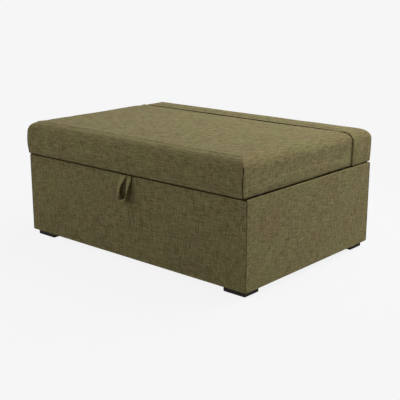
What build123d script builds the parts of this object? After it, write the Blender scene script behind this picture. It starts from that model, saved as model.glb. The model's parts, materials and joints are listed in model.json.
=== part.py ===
from build123d import *
from math import acos, cos, degrees, radians, sin, sqrt
import os

# An upholstered storage-bench box that unfolds into a single guest bed, in millimetres.
# +X runs along the long side to the right, -Y is the front with the pull tab, +Z is up.
# The origin is on the floor, under the middle of the closed bed.

# The box, measured over its fabric
box_width = 1060.0
box_depth = 729.0
box_height = 302.0
skin = 4.0
panel_thickness = 18.0
floor_thickness = 12.0
dust_thickness = 0.5
dust_inset = 12.0
dust_cut = 3.0
corner_round = 3.0
rim_ease = 2.5
post_width = 23.0
front_post_gap = 14.0

# The four feet and their screws
foot_width = 88.0
foot_depth = 70.0
foot_height = 21.0
foot_inset = 15.0
foot_chamfer = 2.0
screw_radius = 2.5
screw_head_radius = 5.0
screw_head_height = 3.0
screw_recess = 8.0
screw_grip = 9.0
screw_clearance = 0.1

# The lid, which is the bed's foot section
lid_gap = 5.0
lid_thickness = 120.0
lid_front_reach = 10.0
lid_end_inset = 7.5
lid_bulge = 2.0
lid_shoulder = 36.0
lid_back_shoulder = 22.0
lid_crown = 5.0
batten_height = 22.0
batten_width = 22.0
batten_ease = 6.0
board_thickness = 12.0

# The padded strip along the back, which is the bed's head bolster
strip_depth = 120.0
strip_end_inset = 2.5
strip_gap = 5.0
strip_back_reach = 0.0
strip_thickness = 118.0
strip_crown = 4.0
strip_front_shoulder = 7.0
strip_shoulder = 36.0
strip_bulge = 2.0
deck_thickness = 15.0
deck_clearance = 3.0
spacer_width = 24.0
spacer_set_in = 8.0

# The head and middle sections
side_room = 28.0
rail_width = 25.0
rail_height = 30.0
rail_ease = 2.0
mattress_inset = 2.0
mattress_shoulder = 20.0
middle_mattress_set_back = 18.0
mattress_crown = 3.0
head_floor_gap = 5.0
head_length = 516.0
section_gap = 26.0
slat_count = 7
slat_width = 46.0
slat_thickness = 8.0
holder_length = 12.0
holder_wall = 3.0
holder_base = 4.0
holder_grip = 10.0

# The folding joints between box, middle section and lid
fold_drop = 1.0
frame_clearance = 5.0
fold_set_back = 11.5
fold_end_gap = 2.0
lid_hinge_set_in = 9.0
lid_hinge_drop = 7.5
lid_fold_gap = 3.0
plate_thickness = 4.0
plate_length = 90.0
plate_margin = 3.0
ear_radius = 7.0
ear_neck = 1.5
pin_radius = 4.0
collar_radius = 5.5
running_clearance = 0.08
lid_plate_offset = 10.0
lid_plate_length = 36.0
fold_bracket_depth = 47.0
fold_bracket_height = 59.0
fold_bracket_top = 4.0
fold_bracket_reach = 9.0
bracket_ease = 6.0

# The lift arms of the head section
arm_length = 260.0
arm_width = 22.0
arm_thickness = 4.0
arm_gap = 4.0
first_arm_gap = 6.0
open_pivot_clearance = 0.25
head_pivot_set_back = 269.0
head_pivot_spacing = 175.0
ring_radius = 7.0
ring_thickness = 1.5
ring_gap = 0.3
lift_plate_width = 50.0
lift_plate_height = 60.0

# The folding legs, square tubes
tube = 20.0
tube_ease = 2.0
tube_gap = 1.0
middle_leg_inset = 80.0
foot_leg_inset = 76.0
leg_set_in = 13.0
crossbar_share = 0.87
crossbar_size = 16.0
glide_length = 14.0
glide_grip = 3.0
glide_wall = 2.0
lug_thickness = 3.0
lug_gap = 0.5
lug_height = 22.0
leg_pin_radius = 3.0

# The buffers and rests
buffer_gap = 0.3
buffer_reach = 7.0
buffer_share = (-0.8, 0.0, 0.52)
rest_share = (-0.7, 0.0, 0.7)
rest_width = 40.0
rest_depth = 12.0
head_buffer_size = 40.0
head_buffer_share = 0.8

# The pull tab, a strap folded into a loop that hangs from the lid's front edge
tab_x = 10.0
tab_half_spread = 24.0
tab_drop = 92.0
tab_width = 29.0
strap_thickness = 2.8
tab_pivot_drop = 3.3
tab_pivot_set_back = 3.0
tab_end_rise = 1.0
tab_hem_radius = 3.0
tab_reach = 9.5
tab_path_shares = (
    (0.42, 0.0, 0.0, -0.15),
    (0.38, 0.2, 0.1, -0.17),
    (0.2, 0.46, 0.4, 0.5),
    (0.0, 0.7, 0.7, 0.95),
    (-0.25, 0.87, 0.78, 1.0),
    (-0.72, 0.965, 0.8, 1.0),
    (-1.2, 0.93, 0.8, 1.0),
    (-1.55, 0.8, 0.78, 0.95),
    (-1.62, 0.62, 0.72, 0.95),
    (-1.35, 0.4, 0.45, 0.6),
    (-0.75, 0.17, 0.1, 0.17),
    (-0.35, 0.0, 0.0, 0.15),
)

cut = 1.0
half = 0.5
belly_share = 0.75
nut_sides = 6
half_turn = 180.0
quarter_turn = 90.0

# Heights, worked out from the floor up
base_bottom = foot_height
base_top = base_bottom + box_height
panel_top = base_top - skin
floor_top = base_bottom + floor_thickness
lid_low = base_top + lid_gap
lid_edge_top = lid_low + lid_thickness
board_low = lid_low + batten_height
board_top = board_low + board_thickness
head_low = floor_top + head_floor_gap
head_rail_top = head_low + rail_height
fold_z = base_top - fold_drop
middle_rail_top = fold_z - frame_clearance
middle_rail_low = middle_rail_top - rail_height
mattress_thickness = (middle_rail_low - head_rail_top - section_gap) * half
head_top = head_rail_top + mattress_thickness
middle_face = head_top + section_gap
open_top = fold_z + fold_z - middle_face
lid_fold_z = lid_low - lid_hinge_drop

# Places across and along the bed, worked out from the outside in
outer_x = box_width * half
panel_out_x = outer_x - skin
panel_in_x = panel_out_x - panel_thickness
tab_front_reach = lid_front_reach - tab_pivot_set_back + tab_reach + tab_width * half
base_y = (tab_front_reach - strip_back_reach) * half
front_y = base_y - box_depth * half
back_y = base_y + box_depth * half
front_in_y = front_y + skin + panel_thickness
back_in_y = back_y - skin - panel_thickness
section_half_width = panel_in_x - side_room
middle_leg_x = section_half_width - middle_leg_inset
foot_leg_x = outer_x - lid_end_inset - foot_leg_inset
lid_x = outer_x - lid_end_inset
strip_x = outer_x - strip_end_inset
lid_front = front_y - lid_front_reach
strip_front = back_y - strip_depth
strip_back = back_y + strip_back_reach
lid_back = strip_front - strip_gap
fold_y = front_in_y + fold_set_back
section_front = fold_y + fold_end_gap
lid_fold_y = lid_back - lid_hinge_set_in
middle_back = lid_fold_y + lid_fold_y - lid_back - lid_fold_gap
head_back = section_front + head_length

# The lift arms' places and angles
front_head_pivot_y = section_front + head_pivot_set_back
rear_head_pivot_y = front_head_pivot_y + head_pivot_spacing
head_pivot_z = head_low + rail_height * half
head_rise = open_top - head_top
arm_tilt = acos(head_rise * half / arm_length)
arm_reach = arm_length * sin(arm_tilt)
arm_base_z = head_pivot_z + head_rise * half
front_arm_y = front_head_pivot_y - arm_reach
rear_arm_y = rear_head_pivot_y - arm_reach
arm_ratio = (half_turn - degrees(arm_tilt) - degrees(arm_tilt)) / half_turn
front_arm_x = section_half_width + first_arm_gap
rear_arm_x = front_arm_x + arm_thickness + arm_gap

# The legs' pivots
middle_leg_y = middle_back - rail_width - leg_set_in
middle_leg_z = middle_rail_top - tube_gap - tube * half
middle_leg_length = fold_z + fold_z - middle_leg_z
lid_rise = fold_z + fold_z - lid_fold_z - lid_fold_z
foot_leg_y = lid_front + skin + batten_width + leg_set_in
foot_leg_z = board_low - tube_gap - tube * half
foot_leg_length = foot_leg_z + lid_rise

# The pull tab's hinge line
tab_pivot_y = lid_front + tab_pivot_set_back
tab_pivot_z = lid_low - tab_pivot_drop


def slab(x, y, z):
    """A plain block between pairs of low and high places."""
    size = Box(x[1] - x[0], y[1] - y[0], z[1] - z[0])
    return Pos((x[0] + x[1]) * half, (y[0] + y[1]) * half, (z[0] + z[1]) * half) * size


def bar(x, y, z, axis, ease):
    """A block whose four edges along one axis are eased."""
    block = slab(x, y, z)
    return chamfer(block.edges().filter_by(axis), ease)


def rod(y, z, radius, x0, x1):
    """A round rod along X."""
    return Pos((x0 + x1) * half, y, z) * Rot(Y=quarter_turn) * Cylinder(radius, abs(x1 - x0))


def post(x, y, radius, z0, z1):
    """A round rod along Z."""
    return Pos(x, y, (z0 + z1) * half) * Cylinder(radius, abs(z1 - z0))


def pair(solid):
    """A piece and its mirror image on the other end of the bed."""
    return [solid, mirror(solid, about=Plane.YZ)]


def write(name, pieces):
    """Write one node, a single solid or a group of solids."""
    solids = [s for piece in pieces for s in piece.solids()]
    shape = solids[0] if len(solids) == 1 else Compound(children=solids)
    export_step(shape, f"parts/{name}.step")


def cushion_profile(low, high, z_low, z_edge, crown, start, end, inset=0.0):
    """The outline of a crowned cushion's section: start and end are (bulge, shoulder) at each side."""
    z_top = z_edge - inset
    parts = [Line((low + inset, z_low), (high - inset, z_low))]
    corners = []
    for place, sign, (bulge, shoulder) in ((high, 1, end), (low, -1, start)):
        radius = shoulder - inset
        z_wide = z_top - radius
        foot = (place - sign * inset, z_low)
        wide = (place + sign * (bulge - inset), z_wide)
        belly = (foot[0] + sign * bulge * belly_share, (z_low + z_wide) * half)
        turn = (wide[0] - sign * radius * (1 - sqrt(half)), z_wide + radius * sqrt(half))
        crest = (wide[0] - sign * radius, z_top)
        side = ThreePointArc(foot, belly, wide) if bulge else Line(foot, wide)
        parts += [side, ThreePointArc(wide, turn, crest)]
        corners.append(crest)
    middle = ((corners[0][0] + corners[1][0]) * half, z_top + crown)
    parts.append(ThreePointArc(corners[0], middle, corners[1]))
    return make_face(Wire(parts))


def cushion(half_x, y, z_low, z_edge, crown, ends, front, back, inset=0.0):
    """A boxed cushion: its long and its short section crossed, with mitred corner seams."""
    long_face = cushion_profile(-half_x, half_x, z_low, z_edge, crown, ends, ends, inset)
    short_face = cushion_profile(y[0], y[1], z_low, z_edge, crown, front, back, inset)
    reach = half_x + box_width
    long_body = extrude(Plane.XZ * long_face, amount=reach, both=True)
    short_body = extrude(Plane.YZ * short_face, amount=reach, both=True)
    return long_body & short_body


def ear_plate(x0, rail_y, rail_z, neck_y, neck_z, pivot, bore):
    """A flat steel plate on a rail's outer face, whose neck carries an ear with a bore."""
    x = (x0, x0 + plate_thickness)
    plate = bar(x, rail_y, rail_z, Axis.X, rail_ease)
    neck = slab(x, neck_y, neck_z)
    ear = rod(pivot[0], pivot[1], ear_radius, *x)
    hole = rod(pivot[0], pivot[1], bore, x[0] - cut, x[1] + cut)
    return plate + neck + ear - hole


def nut(y, z, radius, x0, x1):
    """A six-sided nut or head along X, of the given outer radius."""
    prism = extrude(RegularPolygon(radius, nut_sides), amount=abs(x1 - x0))
    return Pos(min(x0, x1), y, z) * Rot(Y=quarter_turn) * prism


def bolt(y, z, shank, nuts):
    """A bolt along X: a shank of (radius, x0, x1), with nuts or heads of the same form."""
    body = rod(y, z, *shank)
    for piece in nuts:
        body += nut(y, z, *piece)
    return body


def make_box():
    """The box: four panels, corner posts, floor board, dust cover and the fabric over them."""
    z = (base_bottom, panel_top)
    wide = (-panel_out_x, panel_out_x)
    write("front_panel", [slab(wide, (front_y + skin, front_in_y), z)])
    write("back_panel", [slab(wide, (back_in_y, back_y - skin), z)])
    end_x = (panel_in_x, panel_out_x)
    right_end, left_end = pair(slab(end_x, (front_in_y, back_in_y), z))
    write("right_end_panel", [right_end])
    write("left_end_panel", [left_end])
    write_posts()
    inner = (-panel_in_x, panel_in_x)
    board = slab(inner, (front_in_y, back_in_y), (base_bottom, floor_top))
    dust_x = outer_x - dust_inset
    dust_y = (front_y + dust_inset, back_y - dust_inset)
    dust = slab((-dust_x, dust_x), dust_y, (base_bottom - dust_thickness, base_bottom))
    for x, y in foot_places():
        board -= post(x, y, screw_radius + screw_clearance, base_bottom - cut, screw_top() + cut)
        cut_x = (x - foot_width * half - dust_cut, x + foot_width * half + dust_cut)
        cut_y = (y - foot_depth * half - dust_cut, y + foot_depth * half + dust_cut)
        dust -= slab(cut_x, cut_y, (0, base_bottom + cut))
    write("floor_board", [board])
    write("dust_cover", [dust])
    write_base_cover()


def write_posts():
    """Corner posts: short ones in front, under the folding brackets, tall ones under the deck."""
    x = (panel_in_x - post_width, panel_in_x)
    bracket_low = fold_z + fold_bracket_top - fold_bracket_height
    front_z = (floor_top, bracket_low - front_post_gap)
    front = slab(x, (front_in_y, front_in_y + post_width), front_z)
    deck_low = base_top - deck_thickness
    back = slab(x, (back_in_y - post_width, back_in_y), (floor_top, deck_low))
    write("corner_posts", pair(front) + pair(back))


def write_base_cover():
    """Padded fabric over the outer faces and the rim of the box."""
    outer = slab((-outer_x, outer_x), (front_y, back_y), (base_bottom, base_top))
    outer = fillet(outer.edges().filter_by(Axis.Z), corner_round)
    outer = chamfer(outer.faces().sort_by(Axis.Z)[-1].edges(), rim_ease)
    core_y = (front_y + skin, back_y - skin)
    outer -= slab((-panel_out_x, panel_out_x), core_y, (base_bottom - cut, panel_top))
    inside_y = (front_in_y, back_in_y)
    outer -= slab((-panel_in_x, panel_in_x), inside_y, (base_bottom - cut, base_top + cut))
    write("base_cover", [outer])


def foot_middle():
    """The middle of the right back foot, from the box's own middle."""
    x = outer_x - foot_inset - foot_width * half
    y = box_depth * half - foot_inset - foot_depth * half
    return x, y


def foot_places():
    """The middles of the four feet: front left, front right, back left, back right."""
    x, y = foot_middle()
    return [(sx * x, base_y + sy * y) for sy in (-1, 1) for sx in (-1, 1)]


def screw_top():
    """The height that a foot screw's tip reaches in the floor board."""
    return base_bottom + screw_grip


def make_feet():
    """Four black blocks under the box's corners, each held by a screw from below."""
    names = ("front_left", "front_right", "back_left", "back_right")
    screws = []
    for name, (x, y) in zip(names, foot_places()):
        foot_x = (x - foot_width * half, x + foot_width * half)
        foot_y = (y - foot_depth * half, y + foot_depth * half)
        foot = slab(foot_x, foot_y, (0, foot_height))
        foot = chamfer(foot.faces().sort_by(Axis.Z)[0].edges(), foot_chamfer)
        foot -= post(x, y, screw_radius + screw_clearance, 0, foot_height + cut)
        foot -= post(x, y, screw_head_radius + screw_clearance, -cut, screw_recess)
        write(f"foot_{name}", [foot])
        head_z = (screw_recess - screw_head_height, screw_recess)
        shank = post(x, y, screw_radius, head_z[0], screw_top())
        screws.append(shank + post(x, y, screw_head_radius, *head_z))
    write("foot_screws", screws)


def make_strip():
    """The head bolster: a deck across the box, two packing strips, a board, foam and its cover."""
    deck_y = (strip_front + deck_clearance, back_in_y)
    deck_low = base_top - deck_thickness
    write("bolster_deck", [slab((-panel_in_x, panel_in_x), deck_y, (deck_low, base_top))])
    spacer_x = outer_x - spacer_set_in
    spacers = []
    for low_y in (strip_front + spacer_set_in, back_y - spacer_set_in - spacer_width):
        y = (low_y, low_y + spacer_width)
        spacers.append(slab((-spacer_x, spacer_x), y, (base_top, lid_low)))
    write("bolster_spacers", spacers)
    top = lid_low + strip_thickness
    rounded = (strip_bulge, strip_shoulder)
    front = (0.0, strip_front_shoulder)
    y = (strip_front, strip_back)
    shape = (strip_x, y, lid_low, top, strip_crown, rounded, front, rounded)
    outer = cushion(*shape)
    inner = cushion(*shape, skin)
    board_x = strip_x - skin
    board_z = (lid_low, lid_low + board_thickness)
    board = slab((-board_x, board_x), (strip_front + skin, strip_back - skin), board_z)
    under = slab((-box_width, box_width), (-box_width, box_width), (0, board_z[1]))
    write("bolster_board", [board])
    write("bolster_foam", [inner - under])
    write("bolster_cover", [outer - inner])


def section_rails(back, low):
    """A section's wooden frame: two long side rails, and two cross rails between them."""
    z = (low, low + rail_height)
    side_x = (section_half_width - rail_width, section_half_width)
    side = bar(side_x, (section_front, back), z, Axis.Y, rail_ease)
    cross_x = (-side_x[0], side_x[0])
    front = bar(cross_x, (section_front, section_front + rail_width), z, Axis.X, rail_ease)
    rear = bar(cross_x, (back - rail_width, back), z, Axis.X, rail_ease)
    return pair(side) + [front, rear]


def section_slats(back, face, way):
    """Bowed slats across a section, each end in a plastic holder; way is 1 where the bed's face is up."""
    slats = []
    holders = []
    inner_x = section_half_width - rail_width
    first = section_front + rail_width
    pitch = (back - rail_width - first) / slat_count
    near = face - way * slat_thickness
    holder_far = near - way * holder_base
    for index in range(slat_count):
        mid = first + (index + half) * pitch
        y = (mid - slat_width * half, mid + slat_width * half)
        slat_end = inner_x - holder_length + holder_grip
        slats.append(slab((-slat_end, slat_end), y, sorted((near, face))))
        holder_y = (y[0] - holder_wall, y[1] + holder_wall)
        holder = slab((inner_x - holder_length, inner_x), holder_y, sorted((holder_far, face)))
        pocket_x = (inner_x - holder_length - cut, slat_end)
        holder -= slab(pocket_x, y, sorted((near, face + way * cut)))
        holders += pair(holder)
    return slats, holders


def section_mattress(front, back, face, way):
    """A section's foam mattress in its ticking, with eased long edges and a slight crown."""
    half_x = section_half_width - mattress_inset
    sides = (0.0, mattress_shoulder)
    y = (front, back)
    edge = mattress_thickness - mattress_crown
    pad = cushion(half_x, y, 0.0, edge, mattress_crown, sides, sides, sides)
    if way < 0:
        pad = mirror(pad, about=Plane.XY)
    return Pos(0, 0, face - way * mattress_thickness) * pad


def make_head():
    """The head section, which lies lowest in the box and is lifted level by four arms."""
    write("head_frame", section_rails(head_back, head_low))
    slats, holders = section_slats(head_back, head_rail_top, 1)
    write("head_slats", slats)
    write("head_slat_holders", holders)
    write("head_mattress", [section_mattress(section_front, head_back, head_top, 1)])
    pins = []
    rail = section_half_width
    front_end = front_arm_x + arm_thickness + ring_gap
    rear_end = rear_arm_x + arm_thickness + ring_gap
    front = (front_head_pivot_y, front_arm_x, front_end)
    rear = (rear_head_pivot_y, rear_arm_x, rear_end)
    for y, arm_x, end in (front, rear):
        shank = (pin_radius, rail, end + ring_thickness)
        nuts = [(ring_radius, rail, arm_x - ring_gap), (ring_radius, end, end + ring_thickness)]
        pins += pair(bolt(y, head_pivot_z, shank, nuts))
    write("head_pins", pins)


def lift_arm(x0, base_place_y, head_place_y, head_bore):
    """A flat steel arm from the box's bracket back and down to the head section's pin."""
    x1 = x0 + arm_thickness
    mid_y = (base_place_y + head_place_y) * half
    mid_z = (arm_base_z + head_pivot_z) * half
    tilt = degrees(arm_tilt) - quarter_turn
    middle = Pos((x0 + x1) * half, mid_y, mid_z) * Rot(X=tilt) * Box(arm_thickness, arm_length, arm_width)
    arm = middle + rod(base_place_y, arm_base_z, arm_width * half, x0, x1)
    arm += rod(head_place_y, head_pivot_z, arm_width * half, x0, x1)
    arm -= rod(base_place_y, arm_base_z, pin_radius + running_clearance, x0 - cut, x1 + cut)
    arm -= rod(head_place_y, head_pivot_z, head_bore, x0 - cut, x1 + cut)
    return arm


def make_lift():
    """The lift arms, and the brackets and pins that carry them on the end panels."""
    bore = pin_radius + running_clearance
    open_bore = pin_radius + open_pivot_clearance
    write("front_lift_arms", pair(lift_arm(front_arm_x, front_arm_y, front_head_pivot_y, bore)))
    write("rear_lift_arms", pair(lift_arm(rear_arm_x, rear_arm_y, rear_head_pivot_y, open_bore)))
    plate_x = (panel_in_x - plate_thickness, panel_in_x)
    plates = []
    pins = []
    for y, arm_x in ((front_arm_y, front_arm_x), (rear_arm_y, rear_arm_x)):
        plate_y = (y - lift_plate_width * half, y + lift_plate_width * half)
        plate_z = (arm_base_z - lift_plate_height * half, arm_base_z + lift_plate_height * half)
        plates += pair(bar(plate_x, plate_y, plate_z, Axis.X, bracket_ease))
        arm_out = arm_x + arm_thickness + ring_gap
        arm_in = arm_x - ring_gap
        shank = (pin_radius, arm_in - ring_thickness, plate_x[0])
        nuts = [(ring_radius, arm_out, plate_x[0]), (ring_radius, arm_in - ring_thickness, arm_in)]
        pins += pair(bolt(y, arm_base_z, shank, nuts))
    write("lift_brackets", plates)
    write("lift_pins", pins)


def make_middle():
    """The middle section, which lies face down in the box and turns over its front edge."""
    write("middle_frame", section_rails(middle_back, middle_rail_low))
    slats, holders = section_slats(middle_back, middle_rail_low, -1)
    write("middle_slats", slats)
    write("middle_slat_holders", holders)
    mattress_front = section_front + middle_mattress_set_back
    write("middle_mattress", [section_mattress(mattress_front, middle_back, middle_face, -1)])
    rail_z = (middle_rail_low + plate_margin, middle_rail_top - plate_margin)
    x0 = section_half_width
    front_plate = ear_plate(
        x0,
        (fold_y - ear_radius, fold_y + plate_length),
        rail_z,
        (fold_y - ear_radius, fold_y + ear_radius),
        (rail_z[0] + ear_radius, fold_z),
        (fold_y, fold_z),
        pin_radius + running_clearance,
    )
    rear_plate = ear_plate(
        x0,
        (middle_back - plate_length, middle_back),
        rail_z,
        (middle_back - plate_length + ear_radius, lid_fold_y),
        (lid_fold_z - ear_radius, lid_fold_z + ear_neck),
        (lid_fold_y, lid_fold_z),
        pin_radius,
    )
    write("middle_hinge_plates", pair(front_plate) + pair(rear_plate))
    plate_out = x0 + plate_thickness
    lid_plate_x = x0 + lid_plate_offset
    shank = (pin_radius, x0, lid_plate_x + plate_thickness - ring_gap)
    nuts = [
        (ear_radius - ring_gap, x0 - ring_thickness, x0),
        (collar_radius, plate_out, lid_plate_x - ring_gap),
    ]
    write("fold_hinge_pins", pair(bolt(lid_fold_y, lid_fold_z, shank, nuts)))
    lug_y = (middle_leg_y - lug_height * half, middle_back - rail_width)
    lugs = leg_lugs(middle_leg_x, lug_y, middle_leg_y, middle_leg_z)
    write("middle_leg_lugs", lugs)


def make_fold_brackets():
    """The brackets and shoulder pins on the end panels that the middle section turns on."""
    x = (panel_in_x - plate_thickness, panel_in_x)
    low_y = fold_y - fold_bracket_reach
    y = (low_y, low_y + fold_bracket_depth)
    top = fold_z + fold_bracket_top
    plate = bar(x, y, (top - fold_bracket_height, top), Axis.X, bracket_ease * half)
    write("fold_brackets", pair(plate))
    rail = section_half_width
    collar_in = rail + plate_thickness + ring_gap
    shank = (pin_radius, rail + ring_gap, x[0])
    write("fold_bracket_pins", pair(bolt(fold_y, fold_z, shank, [(collar_radius, collar_in, x[0])])))


def leg_lugs(leg_x, y, pivot_y, pivot_z):
    """Steel lugs on both sides of each leg's top, bored for its pin."""
    lugs = []
    z = (pivot_z - tube * half, pivot_z + tube * half)
    for side in (-1, 1):
        near = leg_x + side * (tube * half + lug_gap)
        far = near + side * lug_thickness
        lug = slab(sorted((near, far)), y, z)
        lug -= rod(pivot_y, pivot_z, leg_pin_radius, min(near, far) - cut, max(near, far) + cut)
        lugs += pair(lug)
    return lugs


def folded_legs(leg_x, pivot_y, pivot_z, length, way):
    """A pair of square-tube legs with a crossbar, lying folded; way is the side their tips point to."""
    tube_length = length - glide_length + glide_grip
    tip = pivot_y + way * tube_length
    x = (leg_x - tube * half, leg_x + tube * half)
    z = (pivot_z - tube * half, pivot_z + tube * half)
    leg = bar(x, sorted((pivot_y, tip)), z, Axis.Y, tube_ease)
    leg += rod(pivot_y, pivot_z, tube * half, x[0] + tube_ease, x[1] - tube_ease)
    bore = leg_pin_radius + running_clearance
    leg -= rod(pivot_y, pivot_z, bore, x[0] - cut, x[1] + cut)
    bar_y = pivot_y + way * length * crossbar_share
    cross_y = (bar_y - crossbar_size * half, bar_y + crossbar_size * half)
    cross_z = (pivot_z - crossbar_size * half, pivot_z + crossbar_size * half)
    crossbar = bar((-x[0], x[0]), cross_y, cross_z, Axis.X, tube_ease)
    return pair(leg) + [crossbar]


def leg_glides(leg_x, pivot_y, pivot_z, length, way):
    """Rubber glides over the legs' tips."""
    end = pivot_y + way * length
    start = end - way * glide_length
    reach = tube * half
    x = (leg_x - reach - glide_wall, leg_x + reach + glide_wall)
    tip = pivot_y + way * (length - glide_length + glide_grip)
    z = (pivot_z - reach, pivot_z + reach)
    glide = bar(x, sorted((start, end)), z, Axis.Y, glide_wall)
    pocket_z = (pivot_z - reach - cut, pivot_z + reach + cut)
    glide -= slab((leg_x - reach, leg_x + reach), sorted((start - way * cut, tip)), pocket_z)
    return pair(glide)


def leg_pins(leg_x, pivot_y, pivot_z):
    """Pins through the lugs and the legs' tops."""
    reach = tube * half + lug_gap + lug_thickness
    return pair(rod(pivot_y, pivot_z, leg_pin_radius, leg_x - reach, leg_x + reach))


def make_legs():
    """The middle section's legs, folded forwards, and the lid's legs, folded backwards."""
    middle = (middle_leg_x, middle_leg_y, middle_leg_z)
    write("middle_legs", folded_legs(*middle, middle_leg_length, -1))
    write("middle_leg_glides", leg_glides(*middle, middle_leg_length, -1))
    write("middle_leg_pins", leg_pins(*middle))
    foot = (foot_leg_x, foot_leg_y, foot_leg_z)
    write("foot_legs", folded_legs(*foot, foot_leg_length, 1))
    write("foot_leg_glides", leg_glides(*foot, foot_leg_length, 1))
    write("foot_leg_pins", leg_pins(*foot))


def eased_front(block):
    """A block whose two upright front corners are eased, to lie inside the cushion's corners."""
    return chamfer(block.edges().filter_by(Axis.Z).group_by(Axis.Y)[0], batten_ease)


def make_lid():
    """The lid: a batten rim, a board, foam and the fabric over them."""
    z = (lid_low, board_low)
    inner_x = lid_x - skin
    y = (lid_front + skin, lid_back - skin)
    front_y_pair = (y[0], y[0] + batten_width)
    front = eased_front(slab((-inner_x, inner_x), front_y_pair, z))
    plate_x = section_half_width + lid_plate_offset
    side_x = (plate_x + plate_thickness, inner_x)
    side = slab(side_x, (front_y_pair[1], y[1]), z)
    rear_x = plate_x - tube_gap
    rear = slab((-rear_x, rear_x), (y[1] - batten_width, y[1]), z)
    write("lid_battens", [front, rear] + pair(side))
    write("lid_board", [eased_front(slab((-inner_x, inner_x), y, (board_low, board_top)))])
    rounded = (lid_bulge, lid_shoulder)
    back_side = (0.0, lid_back_shoulder)
    whole_y = (lid_front, lid_back)
    shape = (lid_x, whole_y, lid_low, lid_edge_top, lid_crown, rounded, rounded, back_side)
    outer = cushion(*shape)
    inner = cushion(*shape, skin)
    under = slab((-box_width, box_width), (-box_width, box_width), (0, board_top))
    write("lid_foam", [inner - under])
    write("lid_cover", [outer - inner])
    plate = ear_plate(
        plate_x,
        (y[1] - lid_plate_length, y[1]),
        (lid_fold_z + ear_radius, board_low),
        (lid_fold_y - ear_radius, lid_fold_y + ear_radius - fold_end_gap),
        (lid_fold_z, lid_fold_z + ear_radius + rail_ease + rail_ease),
        (lid_fold_y, lid_fold_z),
        pin_radius + running_clearance,
    )
    write("lid_hinge_plates", pair(plate))
    lug_y = (front_y_pair[1], foot_leg_y + lug_height * half)
    write("foot_leg_lugs", leg_lugs(foot_leg_x, lug_y, foot_leg_y, foot_leg_z))


def make_buffers():
    """Rubber buffers under the lid, under the opened middle section and under the head section."""
    buffers = []
    mid_x = (panel_in_x + panel_out_x) * half
    for share in buffer_share:
        y = base_y + share * box_depth * half
        x = (mid_x - buffer_reach, mid_x + buffer_reach)
        buffer_y = (y - buffer_reach, y + buffer_reach)
        buffers += pair(slab(x, buffer_y, (base_top, lid_low - buffer_gap)))
    write("lid_buffers", buffers)
    rests = []
    rest_top = fold_z + frame_clearance - buffer_gap
    rest_mid = front_in_y - panel_thickness * half
    rest_y = (rest_mid - rest_depth * half, rest_mid + rest_depth * half)
    for share in rest_share:
        x = share * section_half_width
        rest_x = (x - rest_width * half, x + rest_width * half)
        rests.append(slab(rest_x, rest_y, (base_top, rest_top)))
    write("front_rests", rests)
    pads = []
    reach_x = head_buffer_share * section_half_width
    pad_x = (reach_x - head_buffer_size * half, reach_x + head_buffer_size * half)
    for y0 in (section_front, head_back - rail_width):
        pad = slab(pad_x, (y0, y0 + rail_width), (floor_top, head_low - buffer_gap))
        pads += pair(pad)
    write("head_buffers", pads)


def strap_corners(place, along, turn):
    """The strap's four corners at a place: its width turns from the bed's length towards the front."""
    width = Vector(cos(turn), -sin(turn), 0)
    width = (width - along * width.dot(along)).normalized()
    thick = along.cross(width)
    a = width * (tab_width * half)
    b = thick * (strap_thickness * half)
    return [place - a - b, place + a - b, place + a + b, place - a + b]


def strap_solid(sections):
    """A closed solid of flat facets through the strap's sections."""
    faces = [Face(Wire.make_polygon(sections[0], close=True))]
    faces.append(Face(Wire.make_polygon(sections[-1], close=True)))
    for near, far in zip(sections, sections[1:]):
        for index in range(len(near)):
            a, b = near[index - 1], near[index]
            c, d = far[index], far[index - 1]
            faces.append(Face(Wire.make_polygon([a, b, c], close=True)))
            faces.append(Face(Wire.make_polygon([a, c, d], close=True)))
    return Solid(Shell(faces))


def make_tab():
    """The pull tab: both ends of the strap are sewn into one hem under the lid's front edge."""
    top = tab_pivot_z + tab_end_rise
    places = []
    turns = []
    for x_share, z_share, turn_share, y_share in tab_path_shares:
        x = tab_x + x_share * tab_half_spread
        y = tab_pivot_y - y_share * tab_reach
        places.append(Vector(x, y, top - z_share * tab_drop))
        turns.append(radians(turn_share * quarter_turn))
    sections = []
    for index, place in enumerate(places):
        before = places[max(index - 1, 0)]
        after = places[min(index + 1, len(places) - 1)]
        along = (after - before).normalized()
        if index in (0, len(places) - 1):
            along = Vector(0, 0, -1 if index == 0 else 1)
        sections.append(strap_corners(place, along, turns[index]))
    hem_x = (places[-1].X - tab_width * half, places[0].X + tab_width * half)
    hem = rod(tab_pivot_y, tab_pivot_z, tab_hem_radius, *hem_x)
    write("pull_tab", [strap_solid(sections) + hem])


os.makedirs("parts", exist_ok=True)
make_box()
make_feet()
make_strip()
make_head()
make_lift()
make_middle()
make_fold_brackets()
make_legs()
make_lid()
make_buffers()
make_tab()
print("fold", fold_y, fold_z, "lid fold", lid_fold_y, lid_fold_z, "open top", open_top)
print("arms", front_arm_y, rear_arm_y, arm_base_z, head_pivot_z, "ratio", arm_ratio)
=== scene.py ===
import bmesh
import bpy
import json
import math
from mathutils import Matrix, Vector, noise


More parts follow.
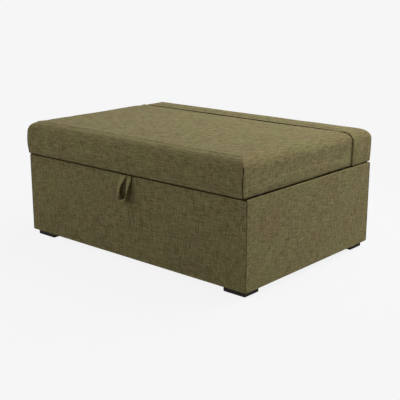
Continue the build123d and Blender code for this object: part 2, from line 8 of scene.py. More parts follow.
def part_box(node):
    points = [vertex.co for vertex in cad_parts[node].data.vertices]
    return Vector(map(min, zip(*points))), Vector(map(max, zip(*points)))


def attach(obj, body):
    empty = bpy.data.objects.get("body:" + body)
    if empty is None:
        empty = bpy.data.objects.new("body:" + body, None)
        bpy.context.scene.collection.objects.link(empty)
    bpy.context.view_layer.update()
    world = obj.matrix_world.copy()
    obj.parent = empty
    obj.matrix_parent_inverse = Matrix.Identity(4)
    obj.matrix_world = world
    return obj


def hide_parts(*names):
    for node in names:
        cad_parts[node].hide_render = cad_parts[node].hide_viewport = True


# The looks of an upholstered box bed, in metres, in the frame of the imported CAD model.
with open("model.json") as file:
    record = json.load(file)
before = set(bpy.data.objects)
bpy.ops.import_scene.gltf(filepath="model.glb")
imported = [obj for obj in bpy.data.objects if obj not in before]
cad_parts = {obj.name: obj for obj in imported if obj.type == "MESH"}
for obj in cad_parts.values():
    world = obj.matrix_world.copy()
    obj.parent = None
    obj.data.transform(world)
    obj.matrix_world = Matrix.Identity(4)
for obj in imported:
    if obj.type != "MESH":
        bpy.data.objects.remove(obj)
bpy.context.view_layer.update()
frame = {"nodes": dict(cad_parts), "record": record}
nodes = frame["nodes"]

# Places read from the frame
rim_low, rim_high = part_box("base_cover")
lid_low, lid_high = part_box("lid_cover")
strip_low, strip_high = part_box("bolster_cover")
_, panel_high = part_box("front_panel")
_, inner_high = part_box("floor_board")
strap_low, strap_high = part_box("pull_tab")

# The form of the cushions, as the CAD model has it
skin = 0.004
lid_bulge = 0.002
lid_front_belly = 0.004
lid_crown = 0.005
lid_shoulder = 0.036
lid_back_shoulder = 0.022
strip_bulge = 0.002
strip_crown = 0.004
strip_shoulder = 0.036
strip_front_shoulder = 0.007
strip_seam_drop = 0.002
mattress_shoulder = 0.020
mattress_crown = 0.003
corner_round = 0.003

# Mesh steps, and how far each piece swells and ripples
lid_step = 0.010
strip_step = 0.009
mattress_step = 0.016
lid_swell = 0.003
strip_swell = 0.002
mattress_swell = 0.005
full_pressure = 3.0
half_pressure = 1.5
cloth_frames = 20
pinned_height = 0.004
mattress_pinned_height = 0.012
skin_wall = 0.003
ripple_depth = 0.0012
mattress_ripple_depth = 0.001
lid_ripple_length = 0.16
strip_ripple_length = 0.12
mattress_ripple_length = 0.12

# The sewn seams, whose dark cords are partly thread and partly painted shade of their grooves
lid_seam_height = 0.097
lid_seam_radius = 0.0013
lid_seam_proud = 0.0003
lid_groove_depth = 0.0020
lid_groove_width = 0.0030
strip_seam_radius = 0.0024
strip_seam_proud = 0.0004
base_seam_radius = 0.0008

# The box's cover: its eased rim and foot, its lip under the lid painted dark as painted shade, and
# its waves
rim_ease = 0.0028
foot_ease = 0.0018
lip_height = 0.0035
base_wave_depth = 0.0008
base_wave_length = 0.14
base_levels = 36
base_counts = (90, 60, 4)

# The camera, found by fitting the box's edges in the photograph
camera_place = (2.0242, -2.2655, 0.9813)
camera_turn = 41.312
camera_drop = 15.118
focal_px = 829.84
image_px = 400
sensor = 36.0

# The fabric's tones, as they look under even light: browner and greener yarns
brown_light = (0.359, 0.281, 0.139)
brown_dark = (0.149, 0.114, 0.048)
green_light = (0.328, 0.299, 0.129)
green_dark = (0.127, 0.120, 0.042)
# The seams' dark tone: partly thread, partly painted shade of their grooves
seam_and_shade_tone = (0.034, 0.025, 0.007)
seam_shade = 0.6
# The strap's tones are made paler by this share as painted light, lifting the shade in its loop
strap_painted_light_share = 1.2

# How strongly the cloudy patches show in the weave, and in its mix of brown and green
cloud_share = 0.35
mottle_share = 1.8

# The upholstery's yarn: slub length and width, contrast and relief
yarn = {"slub_length": 0.036, "slub_width": 0.0021, "contrast": 2.4, "bump": 0.5}
plain_yarn = {"slub_length": 0.004, "slub_width": 0.001, "contrast": 1.0, "bump": 0.3}
ticking_yarn = {"slub_length": 0.006, "slub_width": 0.0012, "contrast": 1.0, "bump": 0.35}
dust_yarn = {"slub_length": 0.004, "slub_width": 0.002, "contrast": 1.0, "bump": 0.3}


def node(tree, kind, inputs=(), **settings):
    """A shader node with its settings and inputs, where an input is a value or a socket."""
    made = tree.nodes.new(kind)
    for key, value in settings.items():
        setattr(made, key, value)
    for key, value in dict(inputs).items():
        if isinstance(value, bpy.types.NodeSocket):
            tree.links.new(value, made.inputs[key])
        else:
            made.inputs[key].default_value = value
    return made


def maths(tree, operation, a, b=0.0):
    """The result of one sum on two values or sockets."""
    return node(tree, "ShaderNodeMath", {0: a, 1: b}, operation=operation).outputs[0]


def mixed(tree, share, a, b):
    """A colour between a and b."""
    made = node(tree, "ShaderNodeMix", data_type="RGBA")
    for index, value in ((0, share), (6, a), (7, b)):
        if isinstance(value, bpy.types.NodeSocket):
            tree.links.new(value, made.inputs[index])
        elif index:
            made.inputs[index].default_value = (*value, 1.0)
        else:
            made.inputs[index].default_value = value
    return made.outputs[2]


def new_material(name, roughness, **sockets):
    """An empty node material with its main shader."""
    material = bpy.data.materials.new(name)
    material.use_nodes = True
    tree = material.node_tree
    tree.nodes.clear()
    shader = node(tree, "ShaderNodeBsdfPrincipled", {"Roughness": roughness, **sockets})
    out = node(tree, "ShaderNodeOutputMaterial")
    tree.links.new(shader.outputs[0], out.inputs[0])
    return material, tree, shader


def stretched_noise(tree, place, size, detail=2.0):
    """Noise whose patches have the given length along each axis."""
    scale = tuple(1.0 / s for s in size)
    turned = node(tree, "ShaderNodeMapping", {"Vector": place, "Scale": scale})
    inputs = {"Vector": turned.outputs[0], "Scale": 1.0, "Detail": detail}
    return node(tree, "ShaderNodeTexNoise", inputs).outputs[0]


def threads(tree, place, normal, length, width):
    """Slubbed threads along all three axes, each shown only where its axis lies in the surface."""
    total = 0.0
    for axis in range(3):
        size = [width] * 3
        size[axis] = length
        streak = maths(tree, "SUBTRACT", stretched_noise(tree, place, size), 0.5)
        out_of_plane = maths(tree, "MULTIPLY", normal.outputs[axis], normal.outputs[axis])
        in_plane = maths(tree, "SUBTRACT", 1.0, out_of_plane)
        total = maths(tree, "ADD", total, maths(tree, "MULTIPLY", streak, in_plane))
    return total


def woven(
    name, light, dark, slub_length, slub_width, contrast, bump, sheen=0.05, patch=0.09, other=None
):
    """A fabric of two tones: slubs both ways, threads in relief, patches of another two tones."""
    finish = {"Sheen Weight": sheen, "Sheen Roughness": 0.6, "Specular IOR Level": 0.05}
    material, tree, shader = new_material(name, 0.9, **finish)
    coords = node(tree, "ShaderNodeTexCoord")
    place = coords.outputs["Object"]
    normal = node(tree, "ShaderNodeSeparateXYZ", {0: coords.outputs["Normal"]})
    slubs = threads(tree, place, normal, slub_length, slub_width)
    fine = threads(tree, place, normal, slub_length * 0.5, slub_width * 0.4)
    cloudy = maths(tree, "SUBTRACT", stretched_noise(tree, place, (patch,) * 3, 1.0), 0.5)
    tone = maths(tree, "ADD", maths(tree, "MULTIPLY", slubs, contrast), 0.5)
    tone = maths(tree, "ADD", tone, maths(tree, "MULTIPLY", fine, contrast))
    tone = maths(tree, "ADD", tone, maths(tree, "MULTIPLY", cloudy, cloud_share))
    tone = node(tree, "ShaderNodeClamp", {0: tone}).outputs[0]
    if other:
        other_light, other_dark = other
        mottle = maths(tree, "ADD", maths(tree, "MULTIPLY", cloudy, mottle_share), 0.5)
        mottle = node(tree, "ShaderNodeClamp", {0: mottle}).outputs[0]
        light = mixed(tree, mottle, light, other_light)
        dark = mixed(tree, mottle, dark, other_dark)
    tree.links.new(mixed(tree, tone, dark, light), shader.inputs["Base Color"])
    relief = maths(tree, "ADD", fine, maths(tree, "MULTIPLY", slubs, 0.5))
    bumped = node(tree, "ShaderNodeBump", {"Height": relief, "Strength": bump, "Distance": 0.0012})
    tree.links.new(bumped.outputs[0], shader.inputs["Normal"])
    return material


def toned(tone, share):
    """A tone times a share: paler above one, darker below."""
    return tuple(c * share for c in tone)


def timber(name, light, dark, axis, ring=0.012, roughness=0.55):
    """Planed wood with its grain along one axis."""
    material, tree, shader = new_material(name, roughness, **{"Specular IOR Level": 0.3})
    place = node(tree, "ShaderNodeTexCoord").outputs["Object"]
    broad = [ring] * 3
    broad[axis] = 0.6
    fine = [0.0012] * 3
    fine[axis] = 0.05
    bands = stretched_noise(tree, place, broad, 3.0)
    pores = stretched_noise(tree, place, fine)
    tone = maths(tree, "MULTIPLY", bands, 1.5)
    tone = maths(tree, "ADD", tone, maths(tree, "MULTIPLY", pores, 0.6))
    tone = node(tree, "ShaderNodeClamp", {0: maths(tree, "SUBTRACT", tone, 0.6)}).outputs[0]
    tree.links.new(mixed(tree, tone, dark, light), shader.inputs["Base Color"])
    bumped = node(tree, "ShaderNodeBump", {"Height": pores, "Strength": 0.25, "Distance": 0.0004})
    tree.links.new(bumped.outputs[0], shader.inputs["Normal"])
    return material


def speckled(name, light, dark, size, roughness, bump=0.2, metallic=0.0):
    """A solid material with a fine mottle in colour and relief: plastic, steel or board."""
    finish = {"Metallic": metallic, "Specular IOR Level": 0.2}
    material, tree, shader = new_material(name, roughness, **finish)
    place = node(tree, "ShaderNodeTexCoord").outputs["Object"]
    grain = stretched_noise(tree, place, (size,) * 3, 3.0)
    worn = stretched_noise(tree, place, (0.06,) * 3, 2.0)
    tone = maths(tree, "MULTIPLY", grain, 0.7)
    tone = maths(tree, "ADD", tone, maths(tree, "MULTIPLY", worn, 0.3))
    tree.links.new(mixed(tree, tone, dark, light), shader.inputs["Base Color"])
    rough = maths(tree, "ADD", maths(tree, "MULTIPLY", worn, 0.2), roughness - 0.1)
    tree.links.new(rough, shader.inputs["Roughness"])
    bumped = node(tree, "ShaderNodeBump", {"Height": grain, "Strength": bump, "Distance": 0.0003})
    tree.links.new(bumped.outputs[0], shader.inputs["Normal"])
    return material


upholstery = woven("upholstery", brown_light, brown_dark, other=(green_light, green_dark), **yarn)
# The strap's fabric: the upholstery's tones made paler, as painted light
strap_browns_painted_light = [toned(tone, strap_painted_light_share) for tone in (brown_light, brown_dark)]
strap_greens_painted_light = [toned(tone, strap_painted_light_share) for tone in (green_light, green_dark)]
strap_fabric_painted_light = woven("strap_fabric_painted_light", *strap_browns_painted_light, other=strap_greens_painted_light, **yarn)
ticking = woven("ticking", (0.72, 0.70, 0.65), (0.56, 0.54, 0.50), **ticking_yarn)
dust_cloth = woven("dust_cloth", (0.030, 0.030, 0.030), (0.012, 0.012, 0.012), **dust_yarn)
# A near-black cloth as painted shade: in the gap under the lid, and on the strap's top and hem
painted_shade_cloth = woven("painted_shade_cloth", (0.055, 0.036, 0.006), (0.030, 0.019, 0.003), sheen=0.0, **plain_yarn)
seam_thread_and_shade = woven("seam_thread_and_shade", seam_and_shade_tone, toned(seam_and_shade_tone, seam_shade), **plain_yarn)
pine = timber("pine_along", (0.62, 0.44, 0.25), (0.44, 0.27, 0.12), axis=1)
birch = timber(
    "birch_slats", (0.70, 0.55, 0.36), (0.55, 0.39, 0.22), axis=0, ring=0.02, roughness=0.4
)
board = speckled(
    "panel_board", (0.46, 0.34, 0.21), (0.30, 0.20, 0.11), size=0.003, roughness=0.75, bump=0.5
)
black_plastic = speckled(
    "black_plastic", (0.010, 0.0085, 0.006), (0.006, 0.005, 0.0035), size=0.0015, roughness=0.7
)
coated = {"size": 0.0008, "roughness": 0.4, "bump": 0.35}
black_steel = speckled("black_steel", (0.030, 0.031, 0.033), (0.018, 0.018, 0.019), **coated)
plated = {"size": 0.0015, "roughness": 0.35, "bump": 0.1, "metallic": 1.0}
zinc_steel = speckled("zinc_steel", (0.62, 0.63, 0.64), (0.46, 0.47, 0.48), **plated)
rubber = speckled(
    "rubber", (0.022, 0.022, 0.023), (0.013, 0.013, 0.014), size=0.001, roughness=0.8, bump=0.3
)

finishes = {
    "panel_board": board,
    "pine": pine,
    "birch_slats": birch,
    "black_plastic": black_plastic,
    "black_steel": black_steel,
    "zinc_steel": zinc_steel,
    "rubber": rubber,
    "dust_cloth": dust_cloth,
}
slots = {row["node"]: row["material_slot"] for row in frame["record"]["subparts"]}


def dress(mesh, material):
    """Give a mesh one material."""
    mesh.materials.clear()
    mesh.materials.append(material)


for name, obj in nodes.items():
    if slots[name] in finishes:
        dress(obj.data, finishes[slots[name]])


def new_object(name, bm, material, smooth=True):
    """An object in the scene from a bmesh."""
    mesh = bpy.data.meshes.new(name)
    bm.to_mesh(mesh)
    bm.free()
    mesh.polygons.foreach_set("use_smooth", [smooth] * len(mesh.polygons))
    dress(mesh, material)
    obj = bpy.data.objects.new(name, mesh)
    bpy.context.scene.collection.objects.link(obj)
    return obj


def shade_smooth(obj):
    """Smooth shading on all of an object's faces."""
    obj.data.polygons.foreach_set("use_smooth", [True] * len(obj.data.polygons))


def settle(obj):
    """Replace an object's mesh with what its modifiers make of it."""
    graph = bpy.context.evaluated_depsgraph_get()
    mesh = bpy.data.meshes.new_from_object(obj.evaluated_get(graph))
    obj.modifiers.clear()
    obj.data = mesh


def shoulder_points(bulge, shoulder, belly, height, steps=8):
    """How far a side stands out at each height, from its foot over its belly to its crest."""
    wide = height - shoulder
    points = []
    for i in range(steps + 1):
        share = i / steps
        reach = bulge * (1 - (1 - share) ** 2) + belly * math.sin(math.pi * share)
        points.append((share * wide, reach))
    for i in range(1, steps + 1):
        turn = i / steps * math.pi / 2
        points.append((wide + shoulder * math.sin(turn), bulge - shoulder * (1 - math.cos(turn))))
    return points


def side_at(points, height):
    """The side's reach at a height, between its points."""
    for (z0, r0), (z1, r1) in zip(points, points[1:]):
        if height <= z1:
            return r0 + (r1 - r0) * (height - z0) / max(z1 - z0, 1e-9)
    return points[-1][1]


def spaced(length, step, fine=0.0025):
    """Shares of a length at even steps, with closer ones beside both ends."""
    count = max(round((length - 6 * fine) / step), 2)
    inner = [(3 * fine + (length - 6 * fine) * i / count) / length for i in range(count + 1)]
    return [0.0, fine / length] + inner + [1.0 - fine / length, 1.0]


def add_cap(bm, ring, shares, height, crown, upward):
    """Close a ring of points with a grid that rises to a crown in its middle."""
    across, along = shares
    last_x, last_y = len(across) - 1, len(along) - 1
    edge = [(i, 0) for i in range(last_x)] + [(last_x, j) for j in range(last_y)]
    edge += [(i, last_y) for i in range(last_x, 0, -1)] + [(0, j) for j in range(last_y, 0, -1)]
    grid = dict(zip(edge, ring))
    start, far = grid[0, 0].co, grid[last_x, last_y].co
    for i in range(1, last_x):
        for j in range(1, last_y):
            u, v = 2 * across[i] - 1, 2 * along[j] - 1
            x = start.x + (far.x - start.x) * across[i]
            y = start.y + (far.y - start.y) * along[j]
            grid[i, j] = bm.verts.new((x, y, height + crown * (1 - u**4) * (1 - v * v)))
    for i in range(last_x):
        for j in range(last_y):
            face = (grid[i, j], grid[i + 1, j], grid[i + 1, j + 1], grid[i, j + 1])
            bm.faces.new(face if upward else face[::-1])


def cushion_mesh(low, high, crown, end, front, back, step, closed=False):
    """A crowned cushion whose sides are (bulge, shoulder, belly), with upright mitred corners."""
    height = high[2] - low[2] - crown
    sides = [shoulder_points(*side, height) for side in (end, front, back)]
    half_x = high[0] - end[0]
    y0, y1 = low[1] + front[0], high[1] - back[0]
    shares = (spaced(2 * half_x, step), spaced(y1 - y0, step))
    across, along = shares
    edge = [(u, 0.0) for u in across[:-1]] + [(1.0, v) for v in along[:-1]]
    edge += [(u, 1.0) for u in across[:0:-1]] + [(0.0, v) for v in along[:0:-1]]
    bm = bmesh.new()
    rings = []
    for z in sorted({round(z, 5) for side in sides for z, _ in side}):
        reach_x, reach_front, reach_back = (side_at(side, z) for side in sides)
        x = half_x + reach_x
        near, far = y0 - reach_front, y1 + reach_back
        places = [(x * (2 * u - 1), near + (far - near) * v, low[2] + z) for u, v in edge]
        rings.append([bm.verts.new(place) for place in places])
    for ring, above in zip(rings, rings[1:]):
        for i in range(len(ring)):
            bm.faces.new((ring[i - 1], ring[i], above[i], above[i - 1]))
    add_cap(bm, rings[-1], shares, low[2] + height, crown, True)
    if closed:
        add_cap(bm, rings[0], shares, low[2], 0.0, False)
    return bm


def inflate(obj, pinned_below, cap, pressure):
    """Let the fabric swell under its filling, outwards up to a cap, pinned below a height."""
    rest = [(v.co.copy(), v.normal.copy()) for v in obj.data.vertices]
    group = obj.vertex_groups.new(name="pinned")
    group.add([i for i, (co, _) in enumerate(rest) if co.z < pinned_below], 1.0, "REPLACE")
    cloth = obj.modifiers.new("cloth", "CLOTH")
    cloth.settings.vertex_group_mass = "pinned"
    cloth.settings.use_pressure = True
    cloth.settings.uniform_pressure_force = pressure
    cloth.settings.effector_weights.gravity = 0.0
    cloth.settings.quality = 4
    cloth.settings.mass = 0.4
    cloth.settings.tension_stiffness = 30.0
    cloth.settings.bending_stiffness = 2.0
    cloth.collision_settings.use_collision = False
    scene = bpy.context.scene
    for number in range(1, cloth_frames + 1):
        scene.frame_set(number)
    settle(obj)
    for vertex, (start, normal) in zip(obj.data.vertices, rest):
        swell = (vertex.co - start).dot(normal)
        vertex.co = start + normal * min(max(swell, 0.0), cap)
    scene.frame_set(1)


def hold_back(obj, limit):
    """Keep an object's back inside a limit, as another section lies against it when unfolded."""
    for vertex in obj.data.vertices:
        vertex.co.y = min(vertex.co.y, limit)


def add_wall(obj, thickness):
    """Give a skin the fabric's thickness, inwards."""
    wall = obj.modifiers.new("wall", "SOLIDIFY")
    wall.thickness = thickness
    wall.offset = -1.0


def ripple(obj, depth, length):
    """Slow, shallow waves that a stretched fabric has, always the same ones."""
    normals = [v.normal.copy() for v in obj.data.vertices]
    for vertex, normal in zip(obj.data.vertices, normals):
        vertex.co += normal * depth * noise.noise(vertex.co / length)


def distance_to(point, a, b):
    """The distance from a point to the run from a to b."""
    run = b - a
    share = max(0.0, min(1.0, (point - a).dot(run) / run.length_squared))
    return (a + run * share - point).length


def groove(obj, line, depth, width):
    """Press a sewn seam into the fabric along a line of points."""
    runs = list(zip(line, line[1:]))
    for vertex in obj.data.vertices:
        nearest = min(distance_to(vertex.co, a, b) for a, b in runs)
        if nearest < 3 * width:
            vertex.co -= vertex.normal * depth * math.exp(-((nearest / width) ** 2))


def seam(name, points, radius, body):
    """A sewn seam's dark line, as a thin cord of stitches sunk in its groove; its darkness is
    partly thread, partly painted shade of the groove.
    """
    curve = bpy.data.curves.new(name, "CURVE")
    curve.dimensions = "3D"
    curve.bevel_depth = radius
    curve.bevel_resolution = 2
    curve.use_fill_caps = True
    spline = curve.splines.new("POLY")
    spline.points.add(len(points) - 1)
    for target, place in zip(spline.points, points):
        target.co = (*place, 1.0)
    curve.materials.append(seam_thread_and_shade)
    drawn = bpy.data.objects.new(name, curve)
    bpy.context.scene.collection.objects.link(drawn)
    graph = bpy.context.evaluated_depsgraph_get()
    mesh = bpy.data.meshes.new_from_object(drawn.evaluated_get(graph))
    bpy.data.objects.remove(drawn)
    obj = bpy.data.objects.new(name, mesh)
    bpy.context.scene.collection.objects.link(obj)
    shade_smooth(obj)
    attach(obj, body)
    return obj


def on_surface(obj, points, proud=0.0):
    """The same points moved onto an object's surface, or to a height over it."""
    placed = []
    for point in points:
        found, place, normal, _ = obj.closest_point_on_mesh(point)
        placed.append(place + normal * proud if found else point)
    return placed


def corner_line(low, high, crown, end, front, sign, top_height, steps=24):
    """The mitred corner at a cushion's front edge, from its foot up to a height."""
    height = high[2] - low[2] - crown
    end_side = shoulder_points(*end, height)
    front_side = shoulder_points(*front, height)
    points = []
    for i in range(steps + 1):
        z = top_height * i / steps
        x = sign * (high[0] - end[0] + side_at(end_side, z))
        y = low[1] + front[0] - side_at(front_side, z)
        points.append(Vector((x, y, low[2] + z)))
    return points


def subdivide(obj):
    """One round of subdivision."""
    smooth = obj.modifiers.new("smooth", "SUBSURF")
    smooth.levels = smooth.render_levels = 1
    settle(obj)


# The lid's cushion: one wrapped top with a sewn seam up each front corner
def make_lid():
    side = (lid_bulge, lid_shoulder, 0.0)
    front = (lid_bulge, lid_shoulder, lid_front_belly)
    back = (0.0, lid_back_shoulder, 0.0)
    bm = cushion_mesh(lid_low, lid_high, lid_crown, side, front, back, lid_step)
    lid = new_object("lid_cushion", bm, upholstery)
    inflate(lid, lid_low.z + pinned_height, lid_swell, full_pressure)
    ripple(lid, ripple_depth, lid_ripple_length)
    hold_back(lid, lid_high.y)
    subdivide(lid)
    seams = []
    for sign in (-1, 1):
        line = corner_line(lid_low, lid_high, lid_crown, side, front, sign, lid_seam_height)
        line = on_surface(lid, line)
        seams.append((sign, line))
        groove(lid, line, lid_groove_depth, lid_groove_width)
    add_wall(lid, skin_wall)
    dress(lid.data, upholstery)
    shade_smooth(lid)
    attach(lid, "foot_section")
    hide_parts("lid_cover", "lid_foam")
    # Each seam gets a dark cord, partly thread and partly painted shade of its groove
    for sign, line in seams:
        hand = "right" if sign > 0 else "left"
        stitches = on_surface(lid, line, lid_seam_proud)
        seam(f"lid_seam_{hand}", stitches, lid_seam_radius, "foot_section")


# The padded strip along the back
def make_strip():
    side = (strip_bulge, strip_shoulder, 0.0)
    front = (0.0, strip_front_shoulder, 0.0)
    bm = cushion_mesh(strip_low, strip_high, strip_crown, side, front, side, strip_step)
    strip = new_object("strip_cushion", bm, upholstery)
    inflate(strip, strip_low.z + pinned_height, strip_swell, half_pressure)
    ripple(strip, ripple_depth, strip_ripple_length)
    subdivide(strip)
    add_wall(strip, skin_wall)
    dress(strip.data, upholstery)
    shade_smooth(strip)
    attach(strip, "base")
    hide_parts("bolster_cover", "bolster_foam")
    half_length = strip_high.x - strip_shoulder
    height = strip_high.z - strip_crown - strip_seam_drop
    line = [Vector((half_length * (i / 20 - 1), strip_low.y, height)) for i in range(41)]
    stitches = on_surface(strip, line, strip_seam_proud)
    # Its dark cord is partly a seam, partly painted shade of the valley between lid and strip
    seam("strip_seam", stitches, strip_seam_radius, "base")


def rounded_ring(inset, height, counts):
    """A rounded rectangle round the box, the same number of points for every inset."""
    along_x, along_y, round_corner = counts
    x1, y1 = rim_high.x - inset, rim_high.y - inset
    x0, y0 = rim_low.x + inset, rim_low.y + inset
    radius = max(corner_round - inset, 0.0008)
    left, right, near, far = x0 + radius, x1 - radius, y0 + radius, y1 - radius
    centres = ((right, near), (right, far), (left, far), (left, near))
    points = []

    def rim_point(centre, turn):
        x = centre[0] + radius * math.cos(turn)
        y = centre[1] + radius * math.sin(turn)
        return Vector((x, y, height))

    for quarter, centre in enumerate(centres):
        start = (quarter - 1) * math.pi / 2
        for i in range(round_corner + 1):
            points.append(rim_point(centre, start + i / round_corner * math.pi / 2))
        first = points[-1]
        last = rim_point(centres[(quarter + 1) % 4], start + math.pi / 2)
        count = along_y if quarter % 2 == 0 else along_x
        points += [first.lerp(last, i / count) for i in range(1, count)]
    return points


# The box's padded cover: outer faces, and over the rim to the panels' inner faces
def make_base_cover():
    inner = rim_high.x - inner_high.x
    low, high = rim_low.z, rim_high.z
    foot, wall_height = low + foot_ease, high - rim_ease - low - foot_ease
    section = [(foot_ease, low), (foot_ease * 0.3, low + foot_ease * 0.3), (0.0, foot)]
    section += [(0.0, foot + wall_height * i / base_levels) for i in range(1, base_levels + 1)]
    for i in range(1, 4):
        turn = i / 3 * math.pi / 2
        section.append((rim_ease * (1 - math.cos(turn)), high - rim_ease * (1 - math.sin(turn))))
    section += [(skin, high), (rim_high.x - lid_high.x, high), (inner * 0.5, high)]
    section += [(inner - 0.001, high), (inner, high - 0.001)]
    section += [(inner, panel_high.z), (skin, panel_high.z), (skin, low)]
    bm = bmesh.new()
    rings = []
    for inset, z in section:
        rings.append([bm.verts.new(place) for place in rounded_ring(inset, z, base_counts)])
    for ring, above in zip(rings, rings[1:] + rings[:1]):
        for i in range(len(ring)):
            j = (i + 1) % len(ring)
            bm.faces.new((ring[i], ring[j], above[j], above[i]))
    cover = new_object("base_upholstery", bm, upholstery)
    # The gap under the lid is dark: its lip and what lies under the lid take a near-black cloth as
    # painted shade
    cover.data.materials.append(painted_shade_cloth)
    for face in cover.data.polygons:
        place = face.center
        lip = place.y < rim_low.y + skin and place.z > high - lip_height
        inside = abs(place.x) < lid_high.x and place.z > high - 0.0002
        face.material_index = int(lip or inside)
    # Only the outer skin has waves, not what lies under the lid
    middle = (rim_low + rim_high) / 2
    near_outside = 0.0005
    for vertex in cover.data.vertices:
        co = vertex.co
        beyond_end = abs(co.x) - rim_high.x + near_outside
        beyond_side = abs(co.y - middle.y) - (rim_high.y - middle.y) + near_outside
        if max(beyond_end, beyond_side) > 0:
            wave = noise.noise(co / base_wave_length) + 1
            vertex.co = co - vertex.normal * base_wave_depth * wave
    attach(cover, "base")
    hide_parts("base_cover")
    # A sewn seam down each rounded corner, its dark cord partly thread and partly painted shade of
    # the seam
    offset = corner_round * (1 - math.sqrt(0.5))
    start, run = low + 0.002, high - low - 0.006
    for side, x in (("right", rim_high.x - offset), ("left", rim_low.x + offset)):
        for end, y in (("front", rim_low.y + offset), ("back", rim_high.y - offset)):
            line = [Vector((x, y, start + run * i / 20)) for i in range(21)]
            stitches = on_surface(cover, line)
            seam(f"base_seam_{end}_{side}", stitches, base_seam_radius, "base")


# The two hidden mattresses, in their ticking
def make_mattress(name, cad_node, body, way):
    low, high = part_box(cad_node)
    side = (0.0, mattress_shoulder, 0.0)
    bm = cushion_mesh(low, high, mattress_crown, side, side, side, mattress_step, True)
    pad = new_object(name, bm, ticking)
    inflate(pad, low.z + mattress_pinned_height, mattress_swell, full_pressure)
    ripple(pad, mattress_ripple_depth, mattress_ripple_length)
    hold_back(pad, high.y)
    subdivide(pad)
    if way < 0:
        bm = bmesh.new()
        bm.from_mesh(pad.data)
        for vertex in bm.verts:
            vertex.co.z = low.z + high.z - vertex.co.z
        bmesh.ops.reverse_faces(bm, faces=bm.faces[:])
        bm.to_mesh(pad.data)
        bm.free()
    dress(pad.data, ticking)
    shade_smooth(pad)
    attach(pad, body)
    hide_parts(cad_node)


# The pull tab: the strap's route, drawn after the photograph. Each row is a share of
# strap_spread across, of strap_drop down, of a quarter turn and of strap_reach forward.
strap_route = (
    (0.42, 0.0, 0.0, -0.15),
    (0.42, 0.2, 0.1, -0.17),
    (0.4, 0.46, 0.32, 0.4),
    (0.36, 0.7, 0.5, 0.85),
    (0.24, 0.9, 0.55, 1.0),
    (-0.2, 0.99, 0.5, 1.0),
    (-0.9, 0.99, 0.42, 1.0),
    (-1.3, 0.9, 0.36, 0.95),
    (-1.35, 0.7, 0.32, 0.9),
    (-1.12, 0.42, 0.26, 0.6),
    (-0.7, 0.18, 0.12, 0.17),
    (-0.35, 0.0, 0.0, 0.15),
)
strap_x = 0.005
strap_spread = 0.024
strap_drop = 0.092
strap_width = 0.029
strap_reach = 0.0095
strap_thickness = 0.0022
hem_radius = 0.003
# How far down the strap's top is painted dark, as painted shade of the gap
shaded_top_length = 0.006
strap_ribs = 7
strap_curl = 0.0006


def smooth_route(points, steps):
    """Points on a smooth curve through the given points, each a list of numbers."""
    made = []
    for k in range(len(points) - 1):
        p0, p1, p2, p3 = (points[min(max(k + d, 0), len(points) - 1)] for d in (-1, 0, 1, 2))
        for i in range(steps + (k == len(points) - 2)):
            t = i / steps
            row = []
            for a, b, c, d in zip(p0, p1, p2, p3):
                bend = 2 * a - 5 * b + 4 * c - d + t * (3 * (b - c) + d - a)
                row.append(b + 0.5 * t * (c - a + t * bend))
            made.append(row)
    return made


def make_strap():
    hinge_y = strap_high.y - hem_radius
    top = strap_high.z - hem_radius + 0.001
    rows = []
    for across, down, turn, out in smooth_route(strap_route, 6):
        x = strap_x + across * strap_spread
        y = hinge_y - out * strap_reach
        rows.append((Vector((x, y, top - down * strap_drop)), turn * math.pi / 2))
    bm = bmesh.new()
    lines = []
    for index, (place, turn) in enumerate(rows):
        before = rows[max(index - 1, 0)][0]
        after = rows[min(index + 1, len(rows) - 1)][0]
        along = (after - before).normalized()
        width = Vector((math.cos(turn), -math.sin(turn), 0))
        width = (width - along * width.dot(along)).normalized()
        thick = along.cross(width)
        line = []
        for rib in range(strap_ribs):
            share = 2 * rib / (strap_ribs - 1) - 1
            curl = strap_curl * (1 - share * share)
            line.append(bm.verts.new(place + width * share * strap_width / 2 + thick * curl))
        lines.append(line)
    for near, far in zip(lines, lines[1:]):
        for a, b, c, d in zip(near, near[1:], far[1:], far):
            bm.faces.new((a, b, c, d))
    strap = new_object("strap_cloth", bm, strap_fabric_painted_light)
    # Its top, in the shade of the gap under the lid, takes the near-black cloth as painted shade
    strap.data.materials.append(painted_shade_cloth)
    for face in strap.data.polygons:
        face.material_index = int(face.center.z > top - shaded_top_length)
    wall = strap.modifiers.new("wall", "SOLIDIFY")
    wall.thickness = strap_thickness
    wall.offset = 0.0
    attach(strap, "tab")
    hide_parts("pull_tab")
    inset = 0.001
    start, run = strap_low.x + inset, strap_high.x - strap_low.x - 2 * inset
    points = [Vector((start + run * i / 8, hinge_y, strap_high.z - hem_radius)) for i in range(9)]
    points = [p for p in points if p.x > strap_x - strap_spread]
    hem = seam("strap_hem", points, hem_radius * 0.9, "tab")
    # The hem is painted dark too, as painted shade of the gap
    dress(hem.data, painted_shade_cloth)


# The thin black cloth under the box
def make_dust_cloth():
    cloth = bpy.data.objects.new("dust_cloth", nodes["dust_cover"].data.copy())
    bpy.context.scene.collection.objects.link(cloth)
    dress(cloth.data, dust_cloth)
    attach(cloth, "base")
    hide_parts("dust_cover")


make_lid()
make_strip()
make_base_cover()
make_mattress("head_mattress_pad", "head_mattress", "head_section", 1)
make_mattress("middle_mattress_pad", "middle_mattress", "middle_section", -1)
make_strap()
make_dust_cloth()


# The floor shows as the photograph's pale ground. Near the object a share of it is lit by the
# lamps and so keeps the shadow, and its glow is less by what the lamps add. Further out it is
# all glow.
backdrop_tone = 0.920
backdrop = (backdrop_tone, backdrop_tone, backdrop_tone, 1)
floor_tone = 0.42
shadow_share = 0.07
lamp_share = 0.75
shadow_reach = 0.6
shadow_end = 1.6
floor_reach = 14.0
fill_strength = 0.32


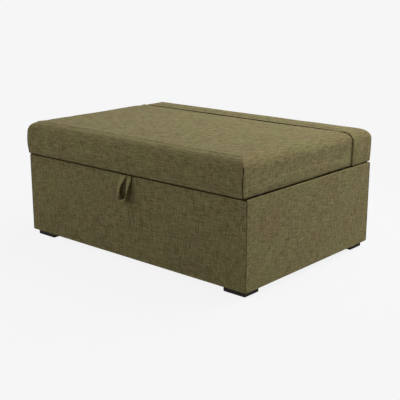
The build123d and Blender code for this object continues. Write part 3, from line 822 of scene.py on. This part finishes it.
def seen_rays(tree):
    """One for the rays that show the pale ground: the camera's, and those off gloss and glass."""
    path = node(tree, "ShaderNodeLightPath")
    seen = maths(tree, "ADD", path.outputs["Is Camera Ray"], path.outputs["Is Glossy Ray"])
    seen = maths(tree, "ADD", seen, path.outputs["Is Transmission Ray"])
    return maths(tree, "MINIMUM", seen, 1.0)


def make_floor():
    bm = bmesh.new()
    bmesh.ops.create_grid(bm, x_segments=1, y_segments=1, size=floor_reach)
    material = bpy.data.materials.new("floor")
    material.use_nodes = True
    tree = material.node_tree
    tree.nodes.clear()
    plain = node(tree, "ShaderNodeBsdfDiffuse", {"Color": (floor_tone, floor_tone, floor_tone, 1)})
    place = node(tree, "ShaderNodeTexCoord").outputs["Object"]
    away = node(tree, "ShaderNodeVectorMath", {0: place}, operation="LENGTH").outputs["Value"]
    fade = {"Value": away, "From Min": shadow_reach, "From Max": shadow_end}
    fade.update({"To Min": shadow_share, "To Max": 0.0})
    share = node(tree, "ShaderNodeMapRange", fade, interpolation_type="SMOOTHSTEP").outputs[0]
    strength = maths(tree, "SUBTRACT", 1.0, maths(tree, "MULTIPLY", share, lamp_share))
    glow = node(tree, "ShaderNodeEmission", {"Color": backdrop, "Strength": strength})
    pale = node(tree, "ShaderNodeBsdfDiffuse", {"Color": share})
    seen = node(tree, "ShaderNodeAddShader", {0: glow.outputs[0], 1: pale.outputs[0]})
    choice = {0: seen_rays(tree), 1: plain.outputs[0], 2: seen.outputs[0]}
    both = node(tree, "ShaderNodeMixShader", choice)
    out = node(tree, "ShaderNodeOutputMaterial")
    tree.links.new(both.outputs[0], out.inputs[0])
    floor = new_object("floor", bm, material, False)


# The world fills in the light, and looks like the ground where it is seen
def make_world():
    world = bpy.data.worlds.new("studio")
    bpy.context.scene.world = world
    world.use_nodes = True
    tree = world.node_tree
    tree.nodes.clear()
    fill = node(tree, "ShaderNodeBackground", {"Color": (1, 1, 1, 1), "Strength": fill_strength})
    back = node(tree, "ShaderNodeBackground", {"Color": backdrop, "Strength": 1.0})
    choice = {0: seen_rays(tree), 1: fill.outputs[0], 2: back.outputs[0]}
    both = node(tree, "ShaderNodeMixShader", choice)
    out = node(tree, "ShaderNodeOutputWorld")
    tree.links.new(both.outputs[0], out.inputs[0])


def make_lamp(name, place, aim, size, power):
    """A square soft lamp that faces a point."""
    light = bpy.data.lights.new(name, "AREA")
    light.shape = "SQUARE"
    light.size = size
    light.energy = power
    lamp = bpy.data.objects.new(name, light)
    lamp.location = place
    lamp.rotation_euler = (Vector(aim) - Vector(place)).to_track_quat("-Z", "Y").to_euler()
    bpy.context.scene.collection.objects.link(lamp)


def make_camera():
    data = bpy.data.cameras.new("camera")
    data.sensor_width = sensor
    data.lens = focal_px * sensor / image_px
    camera = bpy.data.objects.new("camera", data)
    camera.location = camera_place
    camera.rotation_euler = (math.radians(90 - camera_drop), 0, math.radians(camera_turn))
    bpy.context.scene.collection.objects.link(camera)
    bpy.context.scene.camera = camera


make_floor()
make_world()
make_lamp("overhead", place=(0.9, 1.5, 2.3), aim=(0, 0, 0.3), size=2.0, power=53)
make_lamp("right_side", place=(2.8, 0.7, 0.5), aim=(0, 0, 0.25), size=1.4, power=9)
make_lamp("front_left", place=(-2.0, -2.6, 1.6), aim=(-0.3, 0, 0.35), size=1.8, power=19)
make_camera()
bpy.context.scene.view_settings.view_transform = "Standard"
